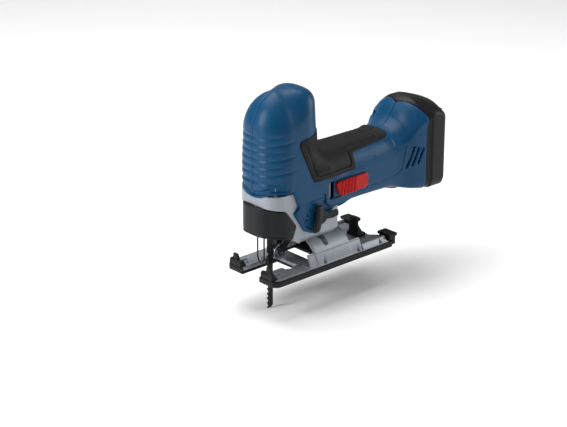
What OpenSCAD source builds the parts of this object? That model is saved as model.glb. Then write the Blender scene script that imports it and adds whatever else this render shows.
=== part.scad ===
// Cordless body-grip jigsaw, as an assembly of its separate pieces.
// The origin is where the saw blade's line meets the sole. +X runs to the rear,
// +Z runs up, and the tool's left side is towards -Y. All sizes are millimetres.

/* [Body] */
// Height of the dome's top above the sole
dome_top = 196; // [194:0.5:198]
// Front of the dome, as a distance ahead of the blade
dome_front = 26; // [25:0.5:28]
// Rear face of the dome above the arm
dome_back = 52; // [51:0.5:54]
// Half width of the dome
dome_half = 32; // [31.5:0.25:33]
// Half width of the arm
arm_half = 30; // [29.5:0.25:30.5]
// Top of the arm
arm_top = 123; // [122:0.5:125]
// Thickness of the plastic shell
wall = 2.8; // [2.4:0.1:3]
// Lower edge of the shell at the front, where the metal band begins
band_top = 92; // [91.5:0.5:93]

/* [Battery end] */
// Rear face of the battery collar
collar_back = 218; // [216:0.5:222]
// Half width of the collar
collar_half = 38; // [37.5:0.25:40]
// Half width of the opening between the battery rails
rail_gap = 19; // [18:0.5:21]

/* [Footplate] */
// Front end of the footplate, as a distance ahead of the blade
plate_front = 26; // [25:0.5:28]
// Rear end of the footplate
plate_back = 139; // [136:1:142]
// Half width of the sliding shoe
shoe_half = 38.5; // [38:0.25:39]
// Half width of the gap between the two front prongs
prong_gap = 13; // [12.5:0.25:14]
// Outer radius of the saddle, about the blade's foot
saddle_r = 36; // [35.5:0.25:36]
// Bevel range of the footplate each way, in degrees
bevel = 45; // [30:5:45]

/* [Drive] */
// Half of the stroke
half_stroke = 13; // [11:0.5:13]
// Height of the crank gear's axis
crank_z = 99.5; // [99.5:0.5:100]
// Distance of the motor's axis behind the blade
motor_x = 24; // [24:0.5:24.5]
// Teeth of the crown gear
gear_teeth = 40; // [40:1:40]
// Teeth of the motor pinion
pinion_teeth = 8; // [8:1:8]
// Radius of the plunger rod
rod_r = 4.5; // [4:0.25:4.5]

/* [Blade] */
// How far the blade reaches below the sole at mid stroke
blade_reach = 40; // [30:1:60]
// Tooth pitch
tooth_pitch = 5.2; // [3:0.1:6]
// Width of the blade
blade_w = 8; // [7:0.5:8]
// Thickness of the blade
blade_t = 1.3; // [1:0.1:1.5]

/* [Hidden] */
$fn = 48;

fit = 0.03;            // radial gap of a pressed or running fit
gap = 0.3;             // gap between neighbours that must not touch
skin = 1;              // how far the soft grip stands proud
far = 80;              // half width that reaches past every side
blue = [0.03, 0.29, 0.53];
black = [0.12, 0.12, 0.13];
silver = [0.72, 0.73, 0.75];
red = [0.85, 0.16, 0.1];
steel = [0.45, 0.46, 0.48];
bronze = [0.62, 0.45, 0.25];
copper = [0.75, 0.42, 0.2];

seat_r = saddle_r + gap;             // concave seat under the gear housing
tower_half = 27.5;                   // half width of the gear housing's upper box
tower_top = 130;                     // top of that box, under the motor
floor_z = 71.5;                      // underside of the gear housing's floor
yoke_half = 7.2;                     // half height of the yoke
rod_top = 137.5;                     // top of the plunger at mid stroke
clamp_z = [44, 58];                  // blade clamp at mid stroke
fork_at = [26, 40];                  // fork pivot, X and Z
roller_at = [9.3, 20];               // roller centre, X and Z
roller_r = 8.3;
lever_at = [38, 60];                 // pivot of the orbit lever, X and Z
dial_at = [161, 58.5];               // centre of the speed dial, X and Z
dial_tilt = 14;                      // slope of the underside at the dial
dial_r = 17;
slider_x = [61, 107];                // switch slider at rest, its off position
slider_z = [75, 91];
screw_at = [[-17, 142], [8, 186], [62, 108], [104, 108], [109, 74], [184, 62], [172, 134]];
cover_screw_at = [[-19.5, 86], [19.5, 86], [-19.5, 119], [19.5, 119]];   // Y and Z
lead_y = [-5, 0, 5];

// ---- shared shapes ----

function arc(cx, cy, r, a0, a1, n) =
    [for (k = [0 : n]) [cx + r * cos(a0 + (a1 - a0) * k / n), cy + r * sin(a0 + (a1 - a0) * k / n)]];

// extrudes an XZ outline from y0 to y1
module across(y0, y1) translate([0, y1, 0]) rotate([90, 0, 0]) linear_extrude(y1 - y0) children();
// extrudes a YZ outline from x0 to x1
module along(x0, x1) translate([x0, 0, 0]) rotate([90, 0, 90]) linear_extrude(x1 - x0) children();
// extrudes an XY outline from z0 to z1
module upward(z0, z1) translate([0, 0, z0]) linear_extrude(z1 - z0) children();
module block(x0, x1, y0, y1, z0, z1) translate([x0, y0, z0]) cube([x1 - x0, y1 - y0, z1 - z0]);
module rod_z(x, y, r, z0, z1) translate([x, y, z0]) cylinder(r = r, h = z1 - z0);
module rod_y(x, z, r, y0, y1) translate([x, y1, z]) rotate([90, 0, 0]) cylinder(r = r, h = y1 - y0);
module rod_x(y, z, r, x0, x1) translate([x0, y, z]) rotate([0, 90, 0]) cylinder(r = r, h = x1 - x0);
module ring_z(x, r_out, r_in, z0, z1) difference() {
    rod_z(x, 0, r_out, z0, z1);
    rod_z(x, 0, r_in, z0 - 1, z1 + 1);
}
// keeps what lies on one side of the middle plane: -1 is left, 1 is right
module half(side) intersection() {
    children();
    block(-60, 240, side < 0 ? -far : 0.05, side < 0 ? -0.05 : far, -50, 220);
}

// ---- body shell ----

// outline of the whole plastic body seen from the side
function body_side() = concat(
    [[-dome_front, band_top]],
    arc(6, 164, dome_front + 6, 180, 100, 8),
    [[14, dome_top]],
    arc(28, 170, dome_top - 170.5, 90, 10, 7),
    [[dome_back, 150], [dome_back, arm_top], [140, arm_top]],
    arc(140, arm_top + 22, 22, 275, 325, 4),
    [[161, 141], [165, 152], [182, 157], [200, 154], [collar_back, 146], [collar_back, 49], [197, 49]],
    [[145, 62], [120, 63.5], [96, 64]],
    arc(90, 50, 14, 90, 170, 4),
    [[76, 49], [79, 45], [75, 38], [68, 39.5], [63, 56], [45, 51.5], [40, 40.8], [33, 41]],
    [[18, 47.5], [3.5, 70], [10, 77], [2.5, 94.5], [-4, band_top]]);

module body_outline(inset) offset(delta = -inset) polygon(body_side());

// plan of the dome: a rectangle with round corners
module dome_plan(inset) {
    r = 20 - inset;
    x0 = -dome_front + inset;
    x1 = dome_back + 1.2 - inset;
    w = dome_half - inset;
    polygon(concat(
        arc(x0 + r, -w + r, r, 180, 270, 8), arc(x1 - r, -w + r, r, 270, 360, 8),
        arc(x1 - r, w - r, r, 0, 90, 8), arc(x0 + r, w - r, r, 90, 180, 8)));
}
// the dome seen from the front, round at the top
module dome_front_view(inset) {
    w = dome_half - inset;
    polygon(concat([[w, 60]], arc(0, dome_top - dome_half, w, 0, 180, 16), [[-w, 60]]));
}
// section of the arm
module arm_section(inset) {
    w = arm_half - inset;
    top = arm_top - inset;
    low = 60 + inset;
    polygon(concat(
        arc(w - 14, low + 14, 14, 270, 360, 5), arc(w - 20, top - 20, 20, 0, 90, 7),
        arc(-w + 20, top - 20, 20, 90, 180, 7), arc(-w + 14, low + 14, 14, 180, 270, 5)));
}
// section of the foot and the collar, with a crowned top
module foot_section(inset) {
    w = collar_half - inset;
    crown = 42 - inset;
    a = acos(w / crown);
    polygon(concat(
        arc(w - 14, 49 + inset + 14, 14, 270, 360, 5), arc(0, 115, crown, a, 180 - a, 14),
        arc(-w + 14, 49 + inset + 14, 14, 180, 270, 5)));
}
module foot_plan(inset) polygon([
    [144, -arm_half + inset], [160, -32 + inset], [186, -36.5 + inset], [196, -collar_half + inset],
    [collar_back + 5, -collar_half + inset], [collar_back + 5, collar_half - inset],
    [196, collar_half - inset], [186, 36.5 - inset], [160, 32 - inset], [144, arm_half - inset]]);

// the body as one solid, drawn smaller all round by inset
module body_solid(inset) intersection() {
    across(-far, far) body_outline(inset);
    union() {
        intersection() {
            upward(60, 200) dome_plan(inset);
            along(-60, 80) dome_front_view(inset);
        }
        along(30, 170) arm_section(inset);
        intersection() {
            upward(40, 170) foot_plan(inset);
            along(143, 240) foot_section(inset);
        }
        block(-2, 82, -dome_half + inset, dome_half - inset, 30, 98);
    }
}
// where the black collar takes over from the blue foot: a shallow V in plan across the top
module collar_region() {
    upward(120, 210) polygon([[168, 0], [181, -26], [192, -45], [250, -45], [250, 45], [192, 45], [181, 26]]);
    block(188.5, 250, -45, 45, 20, 121);
}

module screw_bosses(side) for (p = screw_at)
    rod_y(p[0], p[1], 4.6, side < 0 ? -arm_half + 3 : 0, side < 0 ? 0 : arm_half - 3);

module housing_half(side) {
    difference() {
        intersection() {
            half(side) union() {
                difference() {
                    body_solid(0);
                    body_solid(wall);
                }
                intersection() {
                    body_solid(0.5);
                    screw_bosses(side);
                }
            }
            // the shell stops where the collar starts
            difference() {
                block(-60, 196, -far, far, 20, 210);
                collar_region();
            }
        }
        // room for the gear housing between the side aprons, open to the dome above
        block(-40, 70, -29, 29, 20, band_top + 0.4);
        upward(20, 100) dome_plan(wall);
        // recess that the switch slider runs in
        for (s = [-1, 1]) block(52, 108, s < 0 ? -40 : arm_half + 0.1, s < 0 ? -arm_half - 0.1 : 40, 73, 93);
        // screws enter from the right
        for (p = screw_at) {
            rod_y(p[0], p[1], 1.55, -16, 40);
            rod_y(p[0], p[1], 3.7, 22, 40);
        }
        // shaft of the orbit lever
        rod_y(lever_at[0], lever_at[1], 4.4, -40, side < 0 ? 0 : -1);
        // window for the switch slider's stem
        block(70.5, 89.5, -40, 40, 79, 87);
        // round window for the speed dial
        translate([dial_at[0], 0, dial_at[1]]) rotate([0, dial_tilt, 0])
            translate([0, 0, -8]) cylinder(r = dial_r + 0.6, h = 14);
        // air vents, three slanted slots each side
        for (k = [0 : 2])
            translate([163 + 7 * k, 0, 81 + k]) multmatrix([[1, 0, 0.42, 0], [0, 1, 0, 0], [0, 0, 1, 0]])
                translate([0, -50, 0]) cube([2.6, 100, 23 - 3 * k]);
    }
}
module housing_left() color(blue) housing_half(-1);
module housing_right() color(blue) housing_half(1);

// outline of the soft grip seen from the side
module grip_outline() polygon([
    [60, 149.8], [38, 149], [11.5, 146], [11, 141], [30, 98], [90, 98], [91, 114], [136, 117],
    [141, 121], [143, 126], [60, 126]]);
module grip_half(side) color(black) half(side) difference() {
    intersection() {
        union() {
            intersection() {
                upward(90, 160) dome_plan(-skin - 0.05);
                along(-60, dome_back + skin) dome_front_view(-skin);
            }
            along(dome_back - 6, 143) arm_section(-skin);
        }
        across(-far, far) grip_outline();
    }
    upward(60, 200) dome_plan(-0.05);
    along(30, 150) arm_section(-0.05);
}
module grip_left() grip_half(-1);
module grip_right() grip_half(1);

module housing_screws() color(steel) for (p = screw_at) {
    rod_y(p[0], p[1], 1.5, -15, 22.1);
    difference() {
        rod_y(p[0], p[1], 3.5, 22.1, 25);
        rod_y(p[0], p[1], 1.4, 23.2, 26);
    }
}

// ---- battery end ----

module battery_collar() color(black) difference() {
    intersection() {
        difference() {
            body_solid(0);
            intersection() {
                body_solid(3.6);
                block(150, 214, -far, far, 20, 200);
            }
            // the mouth at the back
            block(210, 240, -32, 32, 20, 140);
        }
        translate([0.1, 0, 0]) collar_region();
    }
    // the battery slides in from below
    block(203.8, 240, -31.5, 31.5, 20, 60);
}
module battery_rails() color(black) {
    block(199.5, 203.5, -31, 31, 60, 136);
    for (s = [-1, 1]) {
        block(203.5, 217, s < 0 ? -31 : rail_gap + 5, s < 0 ? -rail_gap - 5 : 31, 61, 136);
        block(213, 217, s < 0 ? -rail_gap - 5 : rail_gap, s < 0 ? -rail_gap : rail_gap + 5, 61, 136);
    }
    block(203.5, 217, -rail_gap - 5, rail_gap + 5, 132, 136);
}
blade_y = [-12, -4, 4, 12];
module terminal_block() color(black) difference() {
    block(203.55, 210.5, -17, 17, 66, 88);
    for (y = blade_y) block(205, 211, y - 1.4, y + 1.4, 68, 89);
}
module terminal_blades() color(copper) for (y = blade_y) block(205.05, 209.8, y - 0.5, y + 0.5, 70, 87);

// ---- electronics ----

module board_tray() color(silver) difference() {
    block(120, 182, -24, 24, 82, 100);
    block(122, 180, -22, 22, 84, 101);
}
module control_board() color([0.05, 0.35, 0.2]) {
    block(123, 179, -21, 21, 86, 87.6);
    for (x = [130, 142, 154]) rod_z(x, -12, 5, 87.6, 98);
    for (k = [0 : 5]) block(128 + 8 * k, 133 + 8 * k, 4, 14, 87.6, 90);
    for (x = [124, 178]) for (y = [-20, 20]) rod_z(x, y, 0.9, 84.05, 86);
}
module switch_module() color(black) {
    block(92, 114, -11, 11, 80, 91);
    block(89.2, 92, -3, 3, 81, 86);
}
module dial_potentiometer() color([0.2, 0.3, 0.6])
    translate([dial_at[0], 0, dial_at[1]]) rotate([0, dial_tilt, 0]) difference() {
        translate([0, 0, 6.2]) cylinder(r = 7, h = 7);
        translate([0, 0, 5]) cylinder(r = 2 + fit, h = 6.5);
    }
// a straight stretch of insulated lead between two points
module lead(from, to, r) {
    d = to - from;
    translate(from) rotate([0, acos(d[2] / norm(d)), atan2(d[1], d[0])]) cylinder(r = r, h = norm(d));
}
module motor_leads() color(black) for (y = lead_y) {
    rod_z(45.6, y, 1.2, 97, 153);
    lead([44.4, y, 98.5], [119.9, y, 94.5], 1.35);
}
module battery_leads() color(red) for (y = [-10, 10]) lead([182.4, y, 94], [198.9, y, 90], 1.5);

// ---- motor ----

module motor_stator() color(steel) difference() {
    rod_z(motor_x, 0, 24, 155, 176);
    rod_z(motor_x, 0, 12.6, 154, 177);
    for (k = [0 : 5]) translate([motor_x, 0, 154]) rotate(60 * k + 30)
        translate([14, -4.5, 0]) cube([7, 9, 23]);
}
module motor_windings() color(copper) for (k = [0 : 5]) translate([motor_x, 0, 0]) rotate(60 * k + 30) {
    translate([14.2, -4.3, 155]) cube([6.6, 8.6, 21]);
    translate([14.2, -5, 176.05]) cube([6, 10, 3]);
    translate([14.2, -5, 151.9]) cube([6, 10, 3.05]);
}
module bearing_top() color(steel) ring_z(motor_x, 6.5, 2.5 + fit, 182, 187);
module bearing_bottom() color(steel) ring_z(motor_x, 8, 2.5 + fit, 125, 130);
module motor_shaft() color(steel) rod_z(motor_x, 0, 2.5, 116.6, 188);
module rotor_core() color(steel) ring_z(motor_x, 12.1, 2.5 + fit, 156, 175);
module motor_fan() color(black) {
    ring_z(motor_x, 18.6, 2.5 + fit, 137.5, 139.5);
    ring_z(motor_x, 6, 2.5 + fit, 139.5, 146);
    for (k = [0 : 10]) translate([motor_x, 0, 139.4]) rotate(360 / 11 * k)
        translate([5.5, -0.6, 0]) cube([12.6, 1.2, 6.2]);
}
// spur pinion: root cylinder with straight teeth, a tooth pointing forward
module motor_pinion() color(steel) translate([motor_x, 0, 117]) difference() {
    union() {
        cylinder(r = 3.1, h = 5.2);
        for (k = [0 : pinion_teeth - 1]) rotate(180 + 360 / pinion_teeth * k)
            translate([2.6, -0.42, 0]) cube([2.2, 0.84, 5.2]);
    }
    translate([0, 0, -1]) cylinder(r = 2.5 + fit, h = 8);
}

// ---- gear housing ----

module gear_plan(inset) {
    r = 18 - inset;
    w = 28.7 - inset;
    polygon(concat(
        arc(-24 + inset + r, -w + r, r, 180, 270, 8), [[67 - inset, -w], [67 - inset, w]],
        arc(-24 + inset + r, w - r, r, 90, 180, 8)));
}
module gear_outline() polygon([
    [-24, band_top + 0.1], [67, band_top + 0.1], [67, 29], [33, 29],
    [14, 35], [3.2, 41.5], [9.2, 56], [-5.4, 75.2], [-24, 79.4]]);

module gear_housing() color(silver) difference() {
    union() {
        intersection() {
            across(-28.7, 28.7) gear_outline();
            upward(28, band_top + 0.2) gear_plan(0);
        }
        // box around the gears
        block(-12, 34, -tower_half, tower_half, 78, tower_top);
        // floor block that carries the lower bush, and the web that ties it to the front band
        block(-18, 16, -20, 20, floor_z, 80);
        upward(79.5, 81.5) intersection() {
            gear_plan(1);
            translate([-30, -40]) square([44, 80]);
        }
    }
    // crank chamber
    difference() {
        block(-13, 31.5, -25, 25, 78.5, 124);
        for (p = cover_screw_at) block(-13, -4.2, p[0] < 0 ? -26 : 16.5, p[0] < 0 ? -16.5 : 26, p[1] - 8, p[1] + 6);
        rod_x(0, crank_z, 8, 26.4, 33);
    }
    rod_x(0, crank_z, 24, 9.4, 22);
    // behind the crank chamber
    block(37, 64, -25, 25, 66, 100);
    // between the front band and the gear cover
    upward(81.5, 100) intersection() {
        gear_plan(2.6);
        translate([-30, -40]) square([18, 80]);
    }
    // front chamber round the blade clamp
    block(-30, 16, -25.5, 25.5, 20, floor_z);
    // pocket of the fork
    block(10, 36.5, -9.5, 9.5, 20, 60);
    // pocket of the orbit cam
    block(29, 47, -12.2, 9.5, 51, 68);
    // open spaces in the rear block
    for (s = [-1, 1]) block(44, 62, s < 0 ? -24 : 13, s < 0 ? -13 : 24, 48, 62);
    // concave seat, and flanks that clear the tilted footplate
    translate([20, 0, 0]) rotate([0, 90, 0]) cylinder(r = seat_r, h = 70, $fn = 96);
    for (s = [-1, 1]) along(14, 90) polygon([
        [s * 18.5, 20], [s * 18.5, 31.4], [s * 22.5, 34.6], [s * 29, 40], [s * 40, 40], [s * 40, 20]]);
    // bores
    rod_z(0, 0, 6.5 + fit, 121, 140);
    rod_z(0, 0, 6.5 + fit, 73.6, 79);
    rod_z(0, 0, 7.5 + fit, 70, 73.6);
    rod_z(0, 0, rod_r + 1, 60, 80);
    rod_z(motor_x, 0, 8 + fit, 125, 131);
    rod_z(motor_x, 0, 5.5, 120, 126);
    rod_x(0, crank_z, 4 + fit, 26, 40);
    rod_y(fork_at[0], fork_at[1], 2.5 + fit, -20, 15);
    rod_y(lever_at[0], lever_at[1], 4 + fit, -40, 16);
    rod_z(52, 0, 2.5 + fit, 20, 58);
    for (p = cover_screw_at) rod_x(p[0], p[1], 1.25 + fit, -13, -3);
}
module gear_cover() color(silver) difference() {
    block(-14.6, -12.05, -23, 23, 81.7, 128);
    for (p = cover_screw_at) rod_x(p[0], p[1], 1.6, -16, -11);
}
module cover_screws() color(steel) for (p = cover_screw_at) {
    rod_x(p[0], p[1], 1.25, -14.65, -3.5);
    rod_x(p[0], p[1], 2.2, -16.4, -14.65);
}
module gear_axle() color(steel) rod_x(0, crank_z, 4, 12, 34);
module bush_upper() color(bronze) ring_z(0, 6.5, rod_r + fit, 121, 130);
module bush_lower() color(bronze) ring_z(0, 6.5, rod_r + fit, 73.7, 78.4);
module plunger_seal() color(black) ring_z(0, 7.5, rod_r + fit, floor_z + 0.1, 73.5);

// dark guard round the front chamber
module cover_outline(inset) offset(delta = -inset) polygon([
    [-29, 79], [-24, 79], [-6, 74.6], [8.6, 56], [2.6, 41.2], [-6, 45], [-29, 48]]);
module cover_plan(inset) polygon([
    [14, -28.6 + inset], [-4, -29.4 + inset], [-15, -25.5 + inset], [-25 + inset, -15], [-27 + inset, -8],
    [-27 + inset, 8], [-25 + inset, 15], [-15, 25.5 - inset], [-4, 29.4 - inset], [14, 28.6 - inset]]);
module front_cover() color(black) difference() {
    intersection() {
        across(-far, far) cover_outline(0);
        upward(30, 90) cover_plan(0);
    }
    upward(20, 76) cover_plan(2.6);
    // clears the metal band above and the floor block behind
    block(-18.3, 20, -25.6, 25.6, 70, 90);
    block(-23, 20, -25.6, 25.6, 75.9, 90);
}
module led_board() color([0.05, 0.35, 0.2]) for (s = [-1, 1])
    block(-17, -10.5, s < 0 ? -19 : 10, s < 0 ? -10 : 19, floor_z - 1.8, floor_z - 0.1);
module led_lens() color([0.9, 0.95, 1]) for (s = [-1, 1]) {
    rod_z(-13.5, 14.5 * s, 2.6, 66.2, floor_z - 1.85);
    translate([-13.5, 14.5 * s, 66.2]) sphere(r = 2.6);
}
// bent wire ahead of the blade
guard_r = 0.85;
guard_at = [-14, 5, 19.5, 12.6];     // X, half width, height of the bends, height of the tip
module wire_guard() color(black) {
    x = guard_at[0];
    run = [guard_at[1], guard_at[2] - guard_at[3]];
    for (s = [-1, 1]) {
        rod_z(x, s * guard_at[1], guard_r, guard_at[2], floor_z - 0.1);
        translate([x, s * guard_at[1], guard_at[2]]) sphere(r = guard_r + 0.1, $fn = 24);
        translate([x, 0, guard_at[3]]) rotate([-s * atan2(run[0], run[1]), 0, 0])
            cylinder(r = guard_r, h = norm(run), $fn = 24);
    }
    translate([x, 0, guard_at[3]]) sphere(r = guard_r + 0.1, $fn = 24);
}
module fork_pin() color(steel) rod_y(fork_at[0], fork_at[1], 2.5, -14.5, 14.5);

// ---- crank and plunger ----

// crown gear: a disc with radial teeth on its rear face
module crank_gear() color(steel) translate([0, 0, crank_z]) rotate([0, 90, 0]) difference() {
    union() {
        translate([0, 0, 13]) cylinder(r = 22.6, h = 5.8);
        translate([0, 0, 18.7]) cylinder(r = 8, h = 7.3);
        for (k = [0 : gear_teeth - 1]) rotate(180 + 360 / gear_teeth * (k + 0.5))
            translate([17.8, -0.5, 18.7]) cube([4.6, 1, 1.9]);
    }
    translate([0, 0, 10]) cylinder(r = 4 + fit, h = 20);
    translate([0, half_stroke, 10]) cylinder(r = 3 + fit, h = 8);
}
module crank_pin() color(steel) rod_x(half_stroke, crank_z, 3, 4.9, 17.9);
module crank_roller() color(steel) difference() {
    rod_x(half_stroke, crank_z, 4.1, 4.9, 9.4);
    rod_x(half_stroke, crank_z, 3 + fit, 3, 10);
}
module counterweight() color(steel) along(9.8, 12.95) difference() {
    intersection() {
        translate([0, crank_z]) circle(r = 22.4);
        translate([-30, crank_z - 30]) square([24, 60]);
    }
    translate([0, crank_z]) circle(r = 9);
}
module plunger_rod() color(steel) difference() {
    union() {
        rod_z(0, 0, rod_r, clamp_z[1], crank_z - 4);
        rod_z(0, 0, rod_r, crank_z + 4, rod_top);
        along(-3.2, 3.2) translate([-20, crank_z - yoke_half]) square([40, 2 * yoke_half]);
    }
    // slot for the crank roller
    along(-6, 6) translate([-half_stroke - 4.3, crank_z - 4.3]) square([2 * half_stroke + 8.6, 8.6]);
}
module clamp_body() color(steel) difference() {
    rod_z(0, 0, 6, clamp_z[0], clamp_z[1] - 0.02);
    block(-3.3, 2.2, -0.75, 0.75, 40, 56.2);
}
module saw_blade() color([0.25, 0.26, 0.28]) {
    x0 = 2 - blade_w;
    teeth = floor((blade_reach + 26) / tooth_pitch);
    across(-blade_t / 2, blade_t / 2) polygon(concat(
        [[2, clamp_z[0] - 2], [1.9, clamp_z[0]], [1.9, 56], [-3, 56], [-3, clamp_z[0]], [x0, clamp_z[0] - 3]],
        [for (k = [teeth : -1 : 1]) for (q = [0, 1])
            [x0 + 2.2 * q, -blade_reach + 1 + tooth_pitch * (k + 0.15 * q)]],
        [[x0 + 2.2, -blade_reach + 2.5], [x0 + 1, -blade_reach], [1, -blade_reach], [2, -blade_reach + 3]]));
}
module clamp_sleeve() color(black) difference() {
    union() {
        rod_z(0, 0, 7.8, clamp_z[0] + 0.5, clamp_z[1] - 1.5);
        block(-2, 2, -12.4, -7, 47, 54);
    }
    rod_z(0, 0, 6 + 2 * fit, 40, 60);
}

// ---- blade guide ----

module roller_fork() color(steel) difference() {
    union() {
        for (s = [-1, 1]) {
            rod_y(roller_at[0], roller_at[1], 3.6, s < 0 ? -6 : 3.8, s < 0 ? -3.8 : 6);
            rod_y(fork_at[0], fork_at[1], 5, s < 0 ? -6 : 3.8, s < 0 ? -3.8 : 6);
            across(s < 0 ? -6 : 3.8, s < 0 ? -3.8 : 6) polygon([
                roller_at + [-2.6, 2.4], roller_at + [2.4, -2.6], fork_at + [3.6, -3.6], fork_at + [-3.6, 3.6]]);
        }
        across(-3.9, 3.9) polygon([[21, 31.5], [23, 31], [31, 37], [33, 49], [29, 49.5], [22, 40]]);
    }
    rod_y(fork_at[0], fork_at[1], 2.5 + 2 * fit, -10, 10);
    rod_y(roller_at[0], roller_at[1], 2 + fit, -10, 10);
}
module roller_pin() color(steel) rod_y(roller_at[0], roller_at[1], 2, -6.1, 6.1);
module guide_roller() color(steel) translate([roller_at[0], 0, roller_at[1]]) rotate([90, 0, 0])
    rotate_extrude($fn = 64) polygon([
        [2 + 2 * fit, -3.4], [roller_r - 0.5, -3.4], [roller_r, -2.9], [roller_r, -1.4], [roller_r - 1.5, -1.1],
        [roller_r - 1.5, 1.1], [roller_r, 1.4], [roller_r, 2.9], [roller_r - 0.5, 3.4], [2 + 2 * fit, 3.4]]);

// ---- controls ----

module orbit_lever() color(black) across(-38, -33) difference() {
    union() {
        translate(lever_at) circle(r = 8.5);
        polygon([[27.5, 73], [31, 75], [37, 74], [40, 70], [40, 52], [36, 46], [31, 44.6], [27.5, 47]]);
        polygon([[38, 66], [46, 63.6], [56, 63.4], [61.5, 62.4], [61.5, 56.8], [46, 52.4], [38, 50]]);
    }
    translate(lever_at) circle(r = 1.2);
}
module selector_shaft() color(steel) {
    rod_y(lever_at[0], lever_at[1], 4, -32.95, 13);
    difference() {
        rod_y(lever_at[0], lever_at[1], 6.5, -6, 6);
        block(lever_at[0] - 8, lever_at[0] - 4.5, -7, 7, lever_at[1] - 8, lever_at[1] + 8);
    }
}
module slider(side) color(red) {
    y0 = arm_half + 0.25;
    difference() {
        across(side < 0 ? -34 : y0, side < 0 ? -y0 : 34) polygon([
            [slider_x[0], slider_z[1] - 1], [slider_x[0] + 2, slider_z[0] + 2], [slider_x[0] + 6, slider_z[0]],
            [slider_x[1], slider_z[0] + 1], [slider_x[1] - 2, slider_z[1]]]);
        // finger ridges on the front half
        for (k = [0 : 4]) translate([66 + 4.4 * k, side * 34.4, 83]) rotate([0, 8, 0])
            cube([2.2, 2.4, 30], center = true);
        block(90, slider_x[1] + 1, side < 0 ? -36 : 32.4, side < 0 ? -32.4 : 36, 70, 95);
    }
    block(80, 88, side < 0 ? -y0 - 0.2 : 12.05, side < 0 ? -12.05 : y0 + 0.2, 80, 86);
}
module slider_left() slider(-1);
module slider_right() slider(1);
module switch_link() color(black) block(80, 88, -12, 12, 80, 86);

module dial_wheel() color(red) translate([dial_at[0], 0, dial_at[1]]) rotate([0, dial_tilt, 0]) {
    difference() {
        translate([0, 0, -4]) cylinder(r = dial_r, h = 8);
        for (k = [0 : 29]) rotate(12 * k) translate([dial_r, 0, -5]) cylinder(r = 0.8, h = 10, $fn = 16);
        translate([0, 0, -5]) cylinder(r = 6, h = 2);
    }
    translate([0, 0, 4]) cylinder(r = 2, h = 7);
}

// ---- footplate ----

// plan of the plate: two prongs, a wide opening for the roller, a closed rear
module plate_plan(grow) {
    x0 = -plate_front - grow;
    x1 = plate_back + grow;
    w = 36.2 + grow;
    difference() {
        polygon([
            [x0, -w + 5], [x0 + 5, -w], [x1 - 3, -w], [x1, -w + 3], [x1, -14], [x1 - 7, -8], [x1 - 7, 8],
            [x1, 14], [x1, w - 3], [x1 - 3, w], [x0 + 5, w], [x0, w - 5]]);
        translate([x0 - 1, -prong_gap]) square([10 - x0, 2 * prong_gap]);
        translate([4, -19]) square([16, 38]);
        translate([37, -29]) square([41, 58]);
    }
}
// slice of a tube about the X axis, the given angle each side of the vertical
module saddle_sector(r0, r1, angle) difference() {
    intersection() {
        circle(r = r1, $fn = 120);
        polygon([[0, 0], 60 * [-sin(angle), cos(angle)], [-60 * sin(angle / 2), 60],
            [60 * sin(angle / 2), 60], 60 * [sin(angle), cos(angle)]]);
    }
    circle(r = r0, $fn = 120);
}
module footplate() color(silver) difference() {
    union() {
        upward(3.1, 7) plate_plan(0);
        difference() {
            along(33, 82) saddle_sector(saddle_r - 3, saddle_r, 80);
            block(30, 90, -far, far, -10, 3.1);
        }
        // raised ribs along the prongs and the rear
        for (s = [-1, 1]) {
            block(-20, 30, s < 0 ? -21.5 : 19.5, s < 0 ? -19.5 : 21.5, 6.9, 8);
            block(86, 134, s < 0 ? -33 : 31, s < 0 ? -31 : 33, 6.9, 9.5);
            block(86, 110, s < 0 ? -16 : 14, s < 0 ? -14 : 16, 6.9, 10.5);
        }
        block(84, 87, -33, 33, 6.9, 14);
    }
    // slot that the clamp screw travels in when the plate tilts
    along(52 - 2.75, 52 + 2.75) saddle_sector(saddle_r - 6, saddle_r + 5, bevel);
    for (s = [-1, 1]) rotate([s * bevel, 0, 0]) rod_z(52, 0, 2.9, 28, 42);
    // half-round index notches at the edge of the seat
    for (s = [-1, 1]) rotate([s * 31, 0, 0]) rod_z(52, 0, 4.4, 28, 42);
}
module slide_shoe() color(black) difference() {
    union() {
        upward(0, 3) plate_plan(1.2);
        difference() {
            upward(0, 6.4) offset(delta = shoe_half - 36.2) plate_plan(0);
            upward(2.9, 8) plate_plan(0.15);
        }
    }
    block(-40, 10.2, -prong_gap, prong_gap, -5, 20);
    block(3.8, 20.2, -19, 19, -5, 20);
    block(36.8, 78.2, -29, 29, -5, 20);
}
module end_cap(side) color(black) difference() {
    union() {
        across(side < 0 ? -33 : 15, side < 0 ? -15 : 33) polygon([
            [-28.6, 3], [-28.4, 12], [-27, 13.5], [-24, 13.5], [-20, 7.2], [-20, 3]]);
        across(side < 0 ? -29 : 22, side < 0 ? -22 : 29)
            polygon([[-27.6, 12], [-26.4, 19.5], [-24.6, 19.5], [-22, 12]]);
    }
    upward(-1, 7.05) offset(delta = shoe_half - 36.1) plate_plan(0);
}
module cap_left() end_cap(-1);
module cap_right() end_cap(1);
module clip_middle() color(black) {
    block(116, 128, -9, 9, 7.05, 11);
    across(-6.5, 6.5) polygon([[117, 10.5], [116, 28], [123, 28], [123, 25], [119.5, 24], [121.5, 10.5]]);
}
module clip_corners() color(black) for (s = [-1, 1]) difference() {
    union() {
        block(136, 145, s < 0 ? -37 : 20, s < 0 ? -20 : 37, 1.5, 13);
        block(134, 147, s < 0 ? -38 : 19, s < 0 ? -19 : 38, 11, 14);
    }
    upward(-5, 7.05) offset(delta = shoe_half - 36.1) plate_plan(0);
    block(130, 137, s < 0 ? -34 : 30, s < 0 ? -30 : 34, 6, 9.6);
}
module clamp_plate() color(steel) difference() {
    along(44, 60) saddle_sector(saddle_r - 6.4, saddle_r - 3.3, 24);
    rod_z(52, 0, 2.7, 20, 40);
}
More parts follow.
